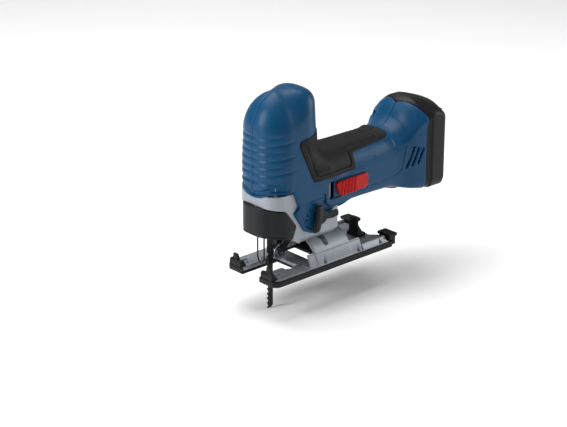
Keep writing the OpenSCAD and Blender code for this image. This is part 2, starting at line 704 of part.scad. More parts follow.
module clamp_screw() color(steel) difference() {
    union() {
        rod_z(52, 0, 2.5, 26, 56);
        rod_z(52, 0, 4.6, 21, 27.9);
    }
    rod_z(52, 0, 2.4, 20, 24.5);
}

housing_left();
housing_right();
grip_left();
grip_right();
housing_screws();
battery_collar();
battery_rails();
terminal_block();
terminal_blades();
board_tray();
control_board();
switch_module();
dial_potentiometer();
motor_leads();
battery_leads();
motor_stator();
motor_windings();
bearing_top();
bearing_bottom();
motor_shaft();
rotor_core();
motor_fan();
motor_pinion();
gear_housing();
gear_cover();
cover_screws();
gear_axle();
bush_upper();
bush_lower();
plunger_seal();
front_cover();
led_board();
led_lens();
wire_guard();
fork_pin();
crank_gear();
crank_pin();
crank_roller();
counterweight();
plunger_rod();
clamp_body();
saw_blade();
clamp_sleeve();
roller_fork();
roller_pin();
guide_roller();
orbit_lever();
selector_shaft();
slider_left();
slider_right();
switch_link();
dial_wheel();
footplate();
slide_shoe();
cap_left();
cap_right();
clip_middle();
clip_corners();
clamp_plate();
clamp_screw();
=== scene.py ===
import math

import bpy
import numpy as np
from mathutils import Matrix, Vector


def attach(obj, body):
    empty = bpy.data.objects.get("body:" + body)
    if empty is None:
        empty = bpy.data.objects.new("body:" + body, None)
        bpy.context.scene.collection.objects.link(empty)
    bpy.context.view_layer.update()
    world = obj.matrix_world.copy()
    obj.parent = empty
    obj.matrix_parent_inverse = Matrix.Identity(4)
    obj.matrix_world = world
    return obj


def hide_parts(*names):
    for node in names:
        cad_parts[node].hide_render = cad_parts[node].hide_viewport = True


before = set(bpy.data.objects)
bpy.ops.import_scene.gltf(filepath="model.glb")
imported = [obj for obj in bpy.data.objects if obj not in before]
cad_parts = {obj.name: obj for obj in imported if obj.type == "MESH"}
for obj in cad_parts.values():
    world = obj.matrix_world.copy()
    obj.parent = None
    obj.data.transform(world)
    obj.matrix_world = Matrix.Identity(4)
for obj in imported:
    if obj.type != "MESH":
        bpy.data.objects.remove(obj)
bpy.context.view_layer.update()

MM = 0.001
COARSE = 1.0   # how much wider the sampling is while trying things

# ---- sizes shared with the CAD, in millimetres ----

DOME_FRONT, DOME_BACK, DOME_TOP, DOME_HALF = -26.0, 52.0, 196.0, 32.0
ARM_TOP, ARM_HALF = 122.0, 30.0
WALL = 2.6
LEVER_AT = (38.0, 60.0)                # X and Z, as for the other places below
DIAL_AT, DIAL_TILT, DIAL_R = (161.0, 58.5), math.radians(14), 17.0
ROLLER_AT, FORK_AT = (9.3, 20.0), (26.0, 40.0)
PRONG_GAP = 13.0
SADDLE_R = 36.0
CHEEK = 55.0                           # degrees from the vertical


# ---- fields: negative inside, distances in millimetres ----

class Grid:
    """Sample points of a box. x, y and z broadcast against each other."""

    def __init__(self, low, high, step):
        self.step = step
        self.low = np.array(low, np.float32) - 2 * step
        count = np.ceil((np.array(high) + 2 * step - self.low) / step).astype(int) + 1
        axes = [(self.low[i] + step * np.arange(count[i])).astype(np.float32) for i in range(3)]
        self.x, self.y, self.z = axes[0][:, None, None], axes[1][None, :, None], axes[2][None, None, :]
        self.shape = tuple(count)


def polygon(u, v, points):
    """Distance to a closed outline in the plane of u and v."""
    shape = np.broadcast(u, v).shape
    near = np.full(shape, 1e9, np.float32)
    inside = np.zeros(shape, bool)
    for (ax, ay), (bx, by) in zip(points, points[1:] + points[:1]):
        ex, ey = bx - ax, by - ay
        if ex == 0 and ey == 0:
            continue
        t = np.clip(((u - ax) * ex + (v - ay) * ey) / (ex * ex + ey * ey), 0, 1)
        near = np.minimum(near, (u - ax - t * ex) ** 2 + (v - ay - t * ey) ** 2)
        if ey:
            inside ^= ((ay > v) != (by > v)) & (u < ax + (v - ay) * ex / ey)
    near = np.sqrt(near)
    return np.where(inside, -near, near)


def line(u, v, points):
    """Distance to an open chain of points."""
    near = np.full(np.broadcast(u, v).shape, 1e9, np.float32)
    for (ax, ay), (bx, by) in zip(points, points[1:]):
        ex, ey = bx - ax, by - ay
        t = np.clip(((u - ax) * ex + (v - ay) * ey) / (ex * ex + ey * ey), 0, 1)
        near = np.minimum(near, (u - ax - t * ex) ** 2 + (v - ay - t * ey) ** 2)
    return np.sqrt(near)


def both(a, b, k=0.0):
    """Intersection, its edge rounded over about k."""
    m = np.maximum(a, b)
    if k:
        m = m + np.maximum(k - np.abs(a - b), 0) ** 2 / (4 * k)
    return m


def either(a, b, k=0.0):
    """Union, its corner filled over about k."""
    return -both(-a, -b, k)


def cut(a, b, k=0.0):
    """a with b taken away."""
    return both(a, -b, k)


def slab(v, low, high):
    return np.maximum(low - v, v - high)


def ease(v, low, high):
    t = np.clip((v - low) / (high - low), 0, 1)
    return t * t * (3 - 2 * t)


def mix(a, b, t):
    return a + (b - a) * t


def block(g, x0, x1, y0, y1, z0, z1, r=0.0):
    """A box with edges of radius r."""
    low, high = np.array([x0, y0, z0]) + r, np.array([x1, y1, z1]) - r
    q = [slab(v, low[i], high[i]) for i, v in enumerate((g.x, g.y, g.z))]
    out = np.sqrt(sum(np.maximum(v, 0) ** 2 for v in q))
    return out + np.minimum(np.maximum(np.maximum(q[0], q[1]), q[2]), 0) - r


def rod(g, axis, centre, r, low, high, k=0.0):
    """A rod along one axis; centre gives the other two coordinates in x, y, z order."""
    planes = {"x": (g.y, g.z, g.x), "y": (g.x, g.z, g.y), "z": (g.x, g.y, g.z)}
    u, v, w = planes[axis]
    return both(np.hypot(u - centre[0], v - centre[1]) - r, slab(w, low, high), k)


def arc(cx, cy, r, a0, a1, n):
    angles = np.radians(np.linspace(a0, a1, n + 1))
    return [(cx + r * math.cos(a), cy + r * math.sin(a)) for a in angles]


def soften(points, reach, steps=4):
    """The outline with each corner replaced by a short curve."""
    points = [p for i, p in enumerate(points) if math.dist(p, points[i - 1]) > 1e-6]
    made = []
    for i, p in enumerate(points):
        p = np.array(p, float)
        a, b = np.array(points[i - 1], float), np.array(points[(i + 1) % len(points)], float)
        ra, rb = (min(reach, 0.45 * np.linalg.norm(q - p)) for q in (a, b))
        a = p + (a - p) / np.linalg.norm(a - p) * ra
        b = p + (b - p) / np.linalg.norm(b - p) * rb
        for t in np.linspace(0, 1, steps + 1):
            made.append(tuple((1 - t) ** 2 * a + 2 * t * (1 - t) * p + t * t * b))
    return made


# ---- from a field to a mesh ----

def corners(f, cells):
    """The field at the eight corners of each cell."""
    i, j, k = cells
    return {(a, b, c): f[i + a, j + b, k + c] for a in (0, 1) for b in (0, 1) for c in (0, 1)}


def sample(f, g, points):
    """The field between its sample points."""
    q = (points - g.low) / g.step
    base = np.clip(np.floor(q).astype(int), 0, np.array(f.shape) - 2)
    t = q - base
    total = 0
    for (a, b, c), value in corners(f, base.T).items():
        w = (t[:, 0] if a else 1 - t[:, 0]) * (t[:, 1] if b else 1 - t[:, 1])
        total = total + value * w * (t[:, 2] if c else 1 - t[:, 2])
    return total


def slope(f, g, points, reach):
    """Gradient of the field at points."""
    made = np.empty_like(points)
    for i in range(3):
        d = np.zeros(3, np.float32)
        d[i] = reach * g.step
        made[:, i] = (sample(f, g, points + d) - sample(f, g, points - d)) / (2 * d[i])
    return made


def net(f, g):
    """A mesh of four-sided faces where the field is zero: one point in each cell that it crosses."""
    inside = f < 0
    count = sum(
        inside[a:a + f.shape[0] - 1, b:b + f.shape[1] - 1, c:c + f.shape[2] - 1].astype(np.uint8)
        for a in (0, 1) for b in (0, 1) for c in (0, 1))
    crossed = (count > 0) & (count < 8)
    number = np.full(crossed.shape, -1, np.int32)
    cells = np.nonzero(crossed)
    number[crossed] = np.arange(len(cells[0]))
    at = corners(f, cells)
    total, hits = np.zeros((len(cells[0]), 3), np.float32), np.zeros(len(cells[0]), np.float32)
    for a in at:
        for axis in range(3):
            if a[axis]:
                continue
            b = tuple(1 if i == axis else a[i] for i in range(3))
            m = (at[a] < 0) != (at[b] < 0)
            t = at[a][m] / (at[a][m] - at[b][m])
            total[m] += np.array(a, np.float32)
            total[m, axis] += t
            hits[m] += 1
    points = g.low + g.step * (np.stack(cells, 1) + total / hits[:, None])
    faces = []
    for axis in range(3):
        u, v = (axis + 1) % 3, (axis + 2) % 3
        first = np.take(inside, range(f.shape[axis] - 1), axis)
        second = np.take(inside, range(1, f.shape[axis]), axis)
        at_edge = np.stack(np.nonzero(first != second), 1)
        at_edge = at_edge[(at_edge[:, u] > 0) & (at_edge[:, v] > 0)]
        at_edge = at_edge[(at_edge[:, u] < f.shape[u] - 1) & (at_edge[:, v] < f.shape[v] - 1)]
        ring = []
        for du, dv in ((-1, -1), (0, -1), (0, 0), (-1, 0)):
            c = at_edge.copy()
            c[:, u] += du
            c[:, v] += dv
            ring.append(number[c[:, 0], c[:, 1], c[:, 2]])
        ring = np.stack(ring, 1)
        back = ~inside[at_edge[:, 0], at_edge[:, 1], at_edge[:, 2]]
        ring[back] = ring[back][:, ::-1]
        faces.append(ring)
    return points, np.concatenate(faces)


def settle(f, g, points):
    """Moves points onto the zero of the field."""
    for _ in range(2):
        n = slope(f, g, points, 0.5)
        size = np.maximum((n * n).sum(1), 0.05)
        step = np.clip(sample(f, g, points) / size, -0.4 * g.step, 0.4 * g.step)
        points = points - step[:, None] * n
    return points


def make_mesh(name, points, faces):
    mesh = bpy.data.meshes.new(name)
    mesh.vertices.add(len(points))
    mesh.vertices.foreach_set("co", (np.asarray(points, np.float32) * MM).ravel())
    mesh.loops.add(faces.size)
    mesh.loops.foreach_set("vertex_index", faces.astype(np.int32).ravel())
    mesh.polygons.add(len(faces))
    mesh.polygons.foreach_set("loop_start", np.arange(0, faces.size, faces.shape[1], dtype=np.int32))
    mesh.polygons.foreach_set("use_smooth", np.ones(len(faces), bool))
    mesh.update(calc_edges=True)
    return mesh


def place(name, mesh, material, body, nodes=()):
    piece = bpy.data.objects.new(name, mesh)
    bpy.context.scene.collection.objects.link(piece)
    mesh.materials.append(material)
    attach(piece, body)
    if nodes:
        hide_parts(*nodes)
    return piece


def thin_out(mesh, ratio):
    """The mesh with fewer faces where it is flat."""
    carrier = bpy.data.objects.new("thinning", mesh)
    bpy.context.scene.collection.objects.link(carrier)
    carrier.modifiers.new("thin", "DECIMATE").ratio = ratio
    made = bpy.data.meshes.new_from_object(carrier.evaluated_get(bpy.context.evaluated_depsgraph_get()))
    bpy.data.objects.remove(carrier)
    return made


EDGE_REACH = 1.5      # steps from a point at which its surface's bend is measured
NORMAL_REACH = 0.7    # steps over which a normal is taken


def field_piece(name, field, low, high, step, material, body, slot, nodes=(), keep=1.0, mirror=False):
    """A piece of the object from its field. mirror builds it on the other side of the middle plane."""
    g = Grid(low, high, step * COARSE)
    f = np.array(np.broadcast_to(field(g), g.shape), np.float32)
    for axis in range(3):
        edge = [slice(None)] * 3
        for end in (0, -1):
            edge[axis] = end
            f[tuple(edge)] = np.maximum(f[tuple(edge)], 0.5 * g.step)
    points, faces = net(f, g)
    points = settle(f, g, points)
    mesh = make_mesh(name, points, faces)
    if keep < 1:
        mesh = thin_out(mesh, keep)
        mesh.name = name
    points = np.empty(len(mesh.vertices) * 3, np.float32)
    mesh.vertices.foreach_get("co", points)
    points = points.reshape(-1, 3) / MM
    n = slope(f, g, points, NORMAL_REACH)
    n /= np.maximum(np.linalg.norm(n, axis=1), 1e-6)[:, None]
    # bend of the surface at each point, kept as the edge attribute: the finishes paint a highlight mixed
    # with wear on raised edges from it
    bend = -6 * sample(f, g, points)
    for d in ((1, 0, 0), (0, 1, 0), (0, 0, 1)):
        for reach in (-EDGE_REACH, EDGE_REACH):
            bend = bend + sample(f, g, points + np.array(d, np.float32) * reach * g.step)
    bend = bend / (EDGE_REACH ** 2 * g.step)
    wear_and_highlight = mesh.attributes.new("edge", "FLOAT", "POINT")
    wear_and_highlight.data.foreach_set("value", np.clip(bend, -1, 1).astype(np.float32))
    if mirror:
        points[:, 1] *= -1
        n[:, 1] *= -1
        mesh.vertices.foreach_set("co", (points * MM).ravel())
        mesh.flip_normals()
    mesh.normals_split_custom_set_from_vertices(n.tolist())
    print("piece", name, len(points), "points", len(mesh.polygons), "faces")
    return place(name, mesh, material, body, nodes)


def both_sides(name, field, *rest, nodes, keep):
    """The same piece on the left and on the right, for two CAD nodes or for a shared one."""
    for side, node in zip(("left", "right"), nodes):
        field_piece(name + "_" + side, field, *rest, (node,), keep=keep, mirror=side == "right")


# ---- materials ----

def srgb(r, g, b):
    def one(c):
        c /= 255
        return c / 12.92 if c <= 0.04045 else ((c + 0.055) / 1.055) ** 2.4
    return (one(r), one(g), one(b), 1.0)


def shade(colour, factor):
    return tuple(min(1.0, c * factor) for c in colour[:3]) + (1.0,)


# how far raised edges go towards the paler colour: a painted highlight mixed with wear
EDGE_WEAR_AND_HIGHLIGHT, BUMP_DEPTH = 0.35, 0.00008


def finish(name, colour, rough, metal=0.0, grain=900.0, bump=0.12, spread=0.08, worn_and_lit=1.6, coat=0.0,
           streak=None, spec=0.5, carried=False):
    """A procedural surface: uneven colour, fine grain, uneven gloss, and raised edges made paler in patches,
    a painted highlight mixed with wear.

    carried is for meshes from the CAD, which have no edge attribute."""
    mat = bpy.data.materials.new(name)
    mat.use_nodes = True
    tree = mat.node_tree
    shader = tree.nodes["Principled BSDF"]
    shader.inputs["Metallic"].default_value = metal
    shader.inputs["Coat Weight"].default_value = coat
    shader.inputs["Coat Roughness"].default_value = 0.12
    shader.inputs["Specular IOR Level"].default_value = spec

    def node(kind, **values):
        n = tree.nodes.new(kind)
        for k, v in values.items():
            setattr(n, k, v)
        return n

    def noise(scale, detail, stretch=None):
        n = node("ShaderNodeTexNoise")
        n.inputs["Scale"].default_value = scale
        n.inputs["Detail"].default_value = detail
        place_at = node("ShaderNodeMapping")
        place_at.inputs["Scale"].default_value = stretch or (1, 1, 1)
        tree.links.new(coords.outputs["Object"], place_at.inputs["Vector"])
        tree.links.new(place_at.outputs["Vector"], n.inputs["Vector"])
        return n

    def blend(factor, a, b):
        m = node("ShaderNodeMix", data_type="RGBA")
        tree.links.new(factor, m.inputs["Factor"])
        for socket, value in ((m.inputs[6], a), (m.inputs[7], b)):
            if isinstance(value, tuple):
                socket.default_value = value
            else:
                tree.links.new(value, socket)
        return m.outputs[2]

    def span(value, a, b, low, high):
        m = node("ShaderNodeMapRange")
        tree.links.new(value, m.inputs["Value"])
        for key, v in zip(("From Min", "From Max", "To Min", "To Max"), (a, b, low, high)):
            m.inputs[key].default_value = v
        return m.outputs["Result"]

    coords = node("ShaderNodeTexCoord")
    cloud = noise(38.0, 3.0)
    fine = noise(grain, 2.0, streak)
    patch_noise = noise(210.0, 4.0)
    base = blend(span(cloud.outputs["Fac"], 0.3, 0.7, 0, 1), shade(colour, 1 - spread),
                 shade(colour, 1 + spread))
    base = blend(span(fine.outputs["Fac"], 0.35, 0.65, 0, 0.22), base, shade(colour, 0.8))
    if carried:
        edge = node("ShaderNodeNewGeometry").outputs["Pointiness"]
        edge = span(edge, 0.52, 0.62, 0, 1)
    else:
        edge = node("ShaderNodeAttribute", attribute_name="edge").outputs["Fac"]
        edge = span(edge, 0.12, 0.7, 0, 1)
    # raised edges made paler in patches: a painted highlight mixed with wear
    wear_and_highlight_patches = node("ShaderNodeMath", operation="MULTIPLY")
    tree.links.new(edge, wear_and_highlight_patches.inputs[0])
    tree.links.new(span(patch_noise.outputs["Fac"], 0.42, 0.62, 0.15 * EDGE_WEAR_AND_HIGHLIGHT, EDGE_WEAR_AND_HIGHLIGHT), wear_and_highlight_patches.inputs[1])
    base = blend(wear_and_highlight_patches.outputs["Value"], base, shade(colour, worn_and_lit))
    tree.links.new(base, shader.inputs["Base Color"])
    gloss = node("ShaderNodeMath", operation="ADD")
    tree.links.new(span(cloud.outputs["Fac"], 0.3, 0.7, rough - 0.05, rough + 0.05), gloss.inputs[0])
    tree.links.new(span(fine.outputs["Fac"], 0.3, 0.7, -0.03, 0.05), gloss.inputs[1])
    tree.links.new(gloss.outputs["Value"], shader.inputs["Roughness"])
    relief = node("ShaderNodeBump")
    relief.inputs["Strength"].default_value = bump
    relief.inputs["Distance"].default_value = BUMP_DEPTH
    tree.links.new(fine.outputs["Fac"], relief.inputs["Height"])
    tree.links.new(relief.outputs["Normal"], shader.inputs["Normal"])
    return mat


BLUE = srgb(0, 66, 104)
M = {
    "shell_blue": finish("shell_blue_plastic", BLUE, 0.36, bump=0.22, spec=0.24, worn_and_lit=1.35),
    "grip_rubber": finish("soft_grip", srgb(15, 15, 17), 0.55, grain=1400, bump=0.5, worn_and_lit=1.5, spec=0.2),
    "collar_black": finish("collar_plastic", srgb(14, 14, 17), 0.4, bump=0.3, worn_and_lit=1.6, spec=0.22),
    "guard_black": finish("guard_plastic", srgb(19, 21, 25), 0.4, bump=0.3, worn_and_lit=1.5, spec=0.22),
    "shoe_black": finish("shoe_plastic", srgb(11, 12, 14), 0.38, bump=0.3, worn_and_lit=1.8, spec=0.22),
    "control_red": finish("control_plastic", srgb(180, 16, 12), 0.38, bump=0.25, spec=0.22, worn_and_lit=1.3),
    "cast_alloy": finish("cast_alloy", srgb(150, 155, 163), 0.4, metal=0.3, grain=700, bump=0.35,
                         spread=0.05, worn_and_lit=1.25),
    "plate_alloy": finish("plate_alloy", srgb(140, 145, 153), 0.36, metal=0.4, grain=500, bump=0.3,
                          spread=0.06, worn_and_lit=1.3),
    "screw_steel": finish("screw_steel", srgb(90, 92, 96), 0.34, metal=0.95, grain=800, bump=0.2),
    "bearing_steel": finish("bearing_steel", srgb(176, 180, 186), 0.22, metal=1.0, grain=900, bump=0.1),
    "clamp_steel": finish("clamp_steel", srgb(28, 29, 32), 0.36, metal=0.4, grain=900, bump=0.3, worn_and_lit=2.2),
    "blade_steel": finish("blade_steel", srgb(26, 27, 30), 0.36, metal=0.4, grain=300, bump=0.2,
                          streak=(0.2, 1, 6), worn_and_lit=2.0),
    "wire_black": finish("wire_paint", srgb(30, 31, 33), 0.35, metal=0.3, grain=900, bump=0.2),
}


# ---- the body ----

SIDE = soften(
    [(DOME_FRONT - 0.5, 86.0)] + arc(6, 164, 32.5, 180, 100, 24) + [(14, DOME_TOP)]
    + arc(28, 170, 25.5, 90, 10, 20) + [(52, 150), (DOME_BACK, ARM_TOP), (140, ARM_TOP)]
    + arc(150, 145, 22, 275, 325, 8) + [(173, 139.5), (180, 147.5), (188, 151), (201, 149.5), (218, 143.5)]
    + [(218, 49), (197, 49), (145, 62), (120, 63.5), (96, 64)] + arc(90, 50, 14, 90, 170, 12)
    + [(76, 49), (79, 45), (75, 38), (68, 39.5), (63, 56), (45, 51.5), (40, 40.8), (33, 41)]
    + [(18, 47.5), (3.5, 70), (10, 77), (2.5, 94.5), (2.4, 86)], 1.6)
RIB_TOP, RIB_PITCH, RIB_LOW = 152.5, 7.6, 106.0


def plan_box(g, x0, x1, half, r):
    cx, hx = (x0 + x1) / 2, (x1 - x0) / 2
    qx, qy = np.abs(g.x - cx) - (hx - r), np.abs(g.y) - (half - r)
    return np.hypot(np.maximum(qx, 0), np.maximum(qy, 0)) + np.minimum(np.maximum(qx, qy), 0) - r


def dome_plan(g):
    """Plan of the dome: blunt at the front, a half circle at the back."""
    front = plan_box(g, DOME_FRONT - 0.6, 140, DOME_HALF, 29)
    back = plan_box(g, -140, DOME_BACK - 0.8, DOME_HALF, 31)
    return both(front, back), front


def dome_section(g):
    whole, front_only = dome_plan(g)
    lean = 0.045 * np.maximum(g.z - ARM_TOP - 3, 0)
    plan = mix(front_only, whole, ease(g.z, 108, 132)) + lean
    r, top = 40.0 - 21 * ease(g.x, 2, 42), DOME_TOP + 0.5
    q_plan, q_top = plan + r, g.z - top + r
    out = np.hypot(np.maximum(q_plan, 0), np.maximum(q_top, 0))
    return out + np.minimum(np.maximum(q_plan, q_top), 0) - r


def long_section(g, low, top, r_low, r_top, half):
    r = np.where(g.z > (low + top) / 2, r_top, r_low)
    q_y = np.abs(g.y) - (half - r)
    q_z = np.where(g.z > (low + top) / 2, g.z - top + r, low + r - g.z)
    return np.hypot(np.maximum(q_y, 0), np.maximum(q_z, 0)) + np.minimum(np.maximum(q_y, q_z), 0) - r


def body(g):
    """The smooth outside of the plastic body."""
    side = polygon(g.x, g.z, SIDE)
    arm_half = ARM_HALF + 2 * (1 - ease(g.x, 56, 92))
    foot_half = np.interp(g.x, [0, 140, 160, 186, 196, 300], [30, 30, 32, 36.5, 38, 38]).astype(np.float32)
    arm = long_section(g, 58, ARM_TOP + 1, 14, 28, arm_half)
    foot = long_section(g, 47, 151.5, 15, 18, foot_half)
    ridge = np.interp(g.x, [0, 142, 150, 160, 168, 173, 180, 188, 201, 218],
                      [220, 160, 125, 127.5, 133, 140, 148, 151.5, 150, 144])
    crown = g.z - ridge + g.y ** 2 * mix(0.017, 0.009, ease(g.x, 176, 210))
    foot = both(foot, 0.9 * crown, 3)
    section = mix(mix(dome_section(g), arm, ease(g.x, 50, 64)), foot, ease(g.x, 138, 176))
    return both(side, section, 5)


def ribs(g):
    """How far the wavy ribs on the front of the dome are pressed in."""
    z = g.z - 0.1 * (g.x - DOME_FRONT)
    t = (RIB_TOP - z) / RIB_PITCH
    wave = np.where(t < 0, 1.0, np.abs(np.sin(np.pi * t)) ** 0.42)
    wave = np.where(z < RIB_LOW - RIB_PITCH * 0.5, 1.0, wave)
    front = 1 - ease(g.x, -22, -10)
    long_one = np.cos(np.pi * np.round(t)) < 0
    trail = np.exp(-((t - np.round(t)) * RIB_PITCH / 1.3) ** 2) * np.where(long_one, 1 - ease(g.x, -6, 12),
                                                                      1 - ease(g.x, -16, -4))
    trail = trail * ((t > -0.4) & (z > RIB_LOW - 4))
    return np.maximum(1.7 * (1 - wave) * front, 0.8 * trail)


def band_edge(g):
    """Height of the blue body's lower edge over the metal band, seen from the front."""
    return 88.5 + np.minimum(0.0137 * g.y ** 2, 6.0)


GRIP = soften([(60, 152), (38, 149.5), (12.5, 146), (10.5, 141), (30, 98), (90, 98), (91, 114), (143, 117.5),
               (148, 121), (151, 128), (60, 130)], 4)
PANEL = [(111.5, 74.5), (150, 77), (158, 82), (163, 106.5)]
POCKET = soften([(12, 70), (19, 52), (32, 44.5), (43, 47), (46, 54), (62, 58), (62, 66), (50, 68), (44, 79),
                 (24, 79)], 4)
SWITCH = soften([(51.6, 74), (108.4, 73.4), (108.4, 92), (106, 93.2), (51.6, 92.8)], 2)


SCREWS = [(-17, 142, 20.0), (8, 180, 19.0), (62, 108, 24), (104, 108, 24.6), (109, 74, 25), (184, 62, 25),
          (175, 125, 24)]                # X, Z and the top of the head
BOSS_R, BORE_R, HEAD_HIGH = 5.8, 3.9, 2.9


def dial_axes(g):
    """X and Z along the tilted dial, from its centre."""
    x, z, turn, rise = g.x - DIAL_AT[0], g.z - DIAL_AT[1], math.cos(DIAL_TILT), math.sin(DIAL_TILT)
    return x * turn - z * rise, x * rise + z * turn


def housing(g, bored=False):
    """One half of the shell, modelled on the left side, y below zero. bored adds the screws' bores."""
    plain = body(g)
    f = plain + ribs(g)
    out = -g.y
    # flange over the metal band: a recess with a thin lip below it
    low = band_edge(g)
    recess = np.exp(-(np.maximum(np.abs(g.z - low - 4.7) - 1.8, 0) / 0.8) ** 2)
    f = f + 3.0 * recess * (1 - ease(g.x, -12, 1))
    step = np.exp(-(np.maximum(np.abs(g.z - 105.4) - 0.5, 0) / 0.9) ** 2)
    f = f + 1.2 * step * (1 - ease(g.x, -20, -6))
    f = cut(f, both(g.z - low, g.x - 3), 0.8)
    # pocket round the orbit lever, and its click marks
    f = cut(f, both(polygon(g.x, g.z, POCKET), 30.4 - out, 1.2), 1.0)
    for a in (112, 135, 158, 181):
        x, z = LEVER_AT[0] + 16.5 * math.cos(math.radians(a)), LEVER_AT[1] + 13 * math.sin(math.radians(a))
        f = cut(f, both(np.hypot(g.x - x, g.z - z) - 1.0, 29.7 - out), 0.4)
    f = cut(f, both(both(slab(g.x, 44.6, 47.0), slab(g.z, 71.5, 82)), 29.6 - out), 0.4)
    # recess of the switch, a ledge above it
    f = cut(f, both(polygon(g.x, g.z, SWITCH), 30.15 - out, 0.8), 0.8)
    ledge = np.hypot(line(g.x, g.z, [(58, 95.3), (104, 94.6)]), out - 31.1) - 1.1
    f = either(f, ledge, 1.2)
    # name panel: groove with a raised rim outside it
    panel = line(g.x, g.z, PANEL)
    f = f + 0.8 * np.exp(-(panel / 0.7) ** 2) * (out > 20)
    rim = line(g.x, g.z, [(158.5, 81), (165.2, 108.6), (120, 104.5)])
    f = f - 0.55 * np.exp(-(rim / 0.9) ** 2) * ease(out, 22, 28)
    # bead along the edge next to the metal flank
    edge = line(g.x, g.z, [(4.4, 92.5), (11.6, 77), (8, 72.2)])
    f = f - 0.6 * np.exp(-(edge / 0.8) ** 2) * ease(out, 28, 31)
    # air vents
    for k in range(3):
        lean = g.x - 163 - 7 * k - 0.42 * (g.z - 81 - k)
        f = cut(f, both(slab(lean, 0, 2.6), both(slab(g.z, 81 + k, 104 - 2 * k), 20 - out), 0.6), 0.6)
    # hollow inside, open towards the gear housing and the battery
    f = cut(f, plain + WALL + 4.0 * (1 - ease(g.z, 106, 112)) * (1 - ease(g.x, -4, 4)))
    f = cut(f, block(g, -19, 70, -29, 29, 0, 92.4))
    f = cut(f, np.hypot(g.x - LEVER_AT[0], g.z - LEVER_AT[1]) - 4.4)
    f = cut(f, both(slab(g.x, 70.5, 89.5), both(slab(g.z, 79, 87), 25 - out)))
    f = f + 0.6 * ease(-polygon(g.x, g.z, GRIP), 0.5, 1.3) * (f > -1.5)
    # room for the dial, and the bores of the screws
    dial_x, dial_z = dial_axes(g)
    f = cut(f, both(np.hypot(dial_x, g.y) - DIAL_R - 0.7, slab(dial_z, -9, 6)), 0.4)
    for x, z, top in SCREWS if bored else ():
        r = np.hypot(g.x - x, g.z - z)
        f = either(f, both(both(r - BOSS_R, plain + 0.5), slab(out, 0, top)), 0.4)
        f = cut(f, both(r - BORE_R, top - HEAD_HIGH - out), 0.3)
    f = both(f, collar_line(g), 0.5)
    return both(f, g.y + 0.04, 0.25)


def collar_line(g):
    """Negative ahead of the black collar, whose front edge is a shallow V on top."""
    across = np.abs(g.y)
    v_edge = np.interp(across, [0, 38, 60], [178, 191.5, 199]).astype(np.float32)
    blend = ease(g.z, 118, 130)
    return (g.x - mix(188.5, v_edge, blend)) * mix(1.0, 0.9, blend)


for side, bored in (("left", False), ("right", True)):
    field_piece("shell_" + side, lambda g: housing(g, bored), (-27, -39, 37), (197, 1, 197), 0.8,
                M["shell_blue"], "frame", "shell_blue", ("housing_" + side,), keep=0.55, mirror=bored)

GRIP_LINE = soften([(60, 140), (37, 140), (18.5, 139), (34.5, 103), (84.5, 103), (86.5, 117.5), (135, 119.6),
                    (136, 140), (60, 140)], 3.5)


def grip(g):
    """Soft cover of one side, with a line pressed in along its border."""
    skin = body(g)
    region = polygon(g.x, g.z, GRIP)
    line_at = polygon(g.x, g.z, GRIP_LINE)
    pressed = 0.85 * np.exp(-(line_at / 0.6) ** 2) * (g.z < 139) * (1 - 0.5 * ease(g.z, 116, 118))
    pillow = 0.3 * ease(-line_at, 0, 4)
    f = both(skin - 0.9 + pressed - pillow, region, 0.9)
    f = cut(f, skin + 0.3)
    return both(f, g.y + 0.06, 0.5)


both_sides("soft_grip", grip, (9, -34, 96), (153, 1, 153), 0.6, M["grip_rubber"], "frame", "grip_rubber",
           nodes=("grip_left", "grip_right"), keep=0.6)


def collar(g):
    """Black surround of the battery bay."""
    plain = body(g)
    side = 1 - ease(g.z, 118, 140)
    groove = np.exp(-(np.maximum(np.abs(g.x - 192.8) - 3.2, 0) / 0.9) ** 2)
    f = plain + 1.5 * groove * side
    f = cut(f, both(plain + 3.6, g.x - 214))
    f = cut(f, block(g, 210, 260, -31, 31, 0, 129), 0.8)
    f = both(f, 0.12 - collar_line(g), 0.5)
    return cut(f, block(g, 203.8, 260, -31.5, 31.5, 0, 60), 0.6)


field_piece("battery_surround", collar, (165, -39, 48), (219, 39, 158), 0.7, M["collar_black"], "frame",
            "collar_black", ("battery_collar",), keep=0.6)

# ---- metal gear housing and the chin ----

GEAR = soften([(-24, 96), (67, 96), (67, 29), (33, 29), (14, 35), (3.2, 41.5), (9.2, 56), (-5.4, 75.2),
               (-24, 79.4)], 1.2)


def gear_case(g):
    f = both(polygon(g.x, g.z, GEAR), plan_box(g, -24, 140, 28.7, 18), 1.2)
    f = both(f, both(g.z - 92.2, g.z - band_edge(g) + 0.15), 0.4)
    f = cut(f, both(plan_box(g, -21, 36, 25.5, 14), slab(g.z, 77, 110)))
    f = cut(f, block(g, 30, 64, -25.5, 25.5, 62, 110))
    f = cut(f, block(g, -40, 16, -25.5, 25.5, 0, 71.5), 0.6)
    f = cut(f, block(g, 10, 36.5, -9.5, 9.5, 0, 60), 1.0)
    f = cut(f, np.hypot(g.y, g.z) - (SADDLE_R + 0.3) + np.maximum(20 - g.x, 0), 0.8)
    flank = polygon(np.abs(g.y), g.z, [(18.5, 10), (18.5, 31.4), (22.5, 34.6), (29, 40), (40, 40), (40, 10)])
    f = cut(f, both(flank, 14 - g.x), 0.8)
    f = cut(f, np.hypot(g.x, g.y) - 8.2 + 0 * g.z)
    f = cut(f, rod(g, "z", (52, 0), 2.6, 0, 60))
    return f


field_piece("gear_case", gear_case, (-25, -29.5, 28), (68, 29.5, 93), 0.6, M["cast_alloy"], "frame",
            "cast_alloy", ("gear_housing",), keep=0.6)

CHIN = soften([(-29, 79.2), (-24, 79.2), (-6, 74.8), (8.6, 56), (2.6, 41.2), (-6, 45), (-29, 48)], 1.6)
CHIN_PLAN = soften([(20, -28.6), (14, -28.6), (-4, -29.4), (-15, -25.5), (-25, -15), (-27, -8), (-27, 8),
                    (-25, 15), (-15, 25.5), (-4, 29.4), (14, 28.6), (20, 28.6)], 3)


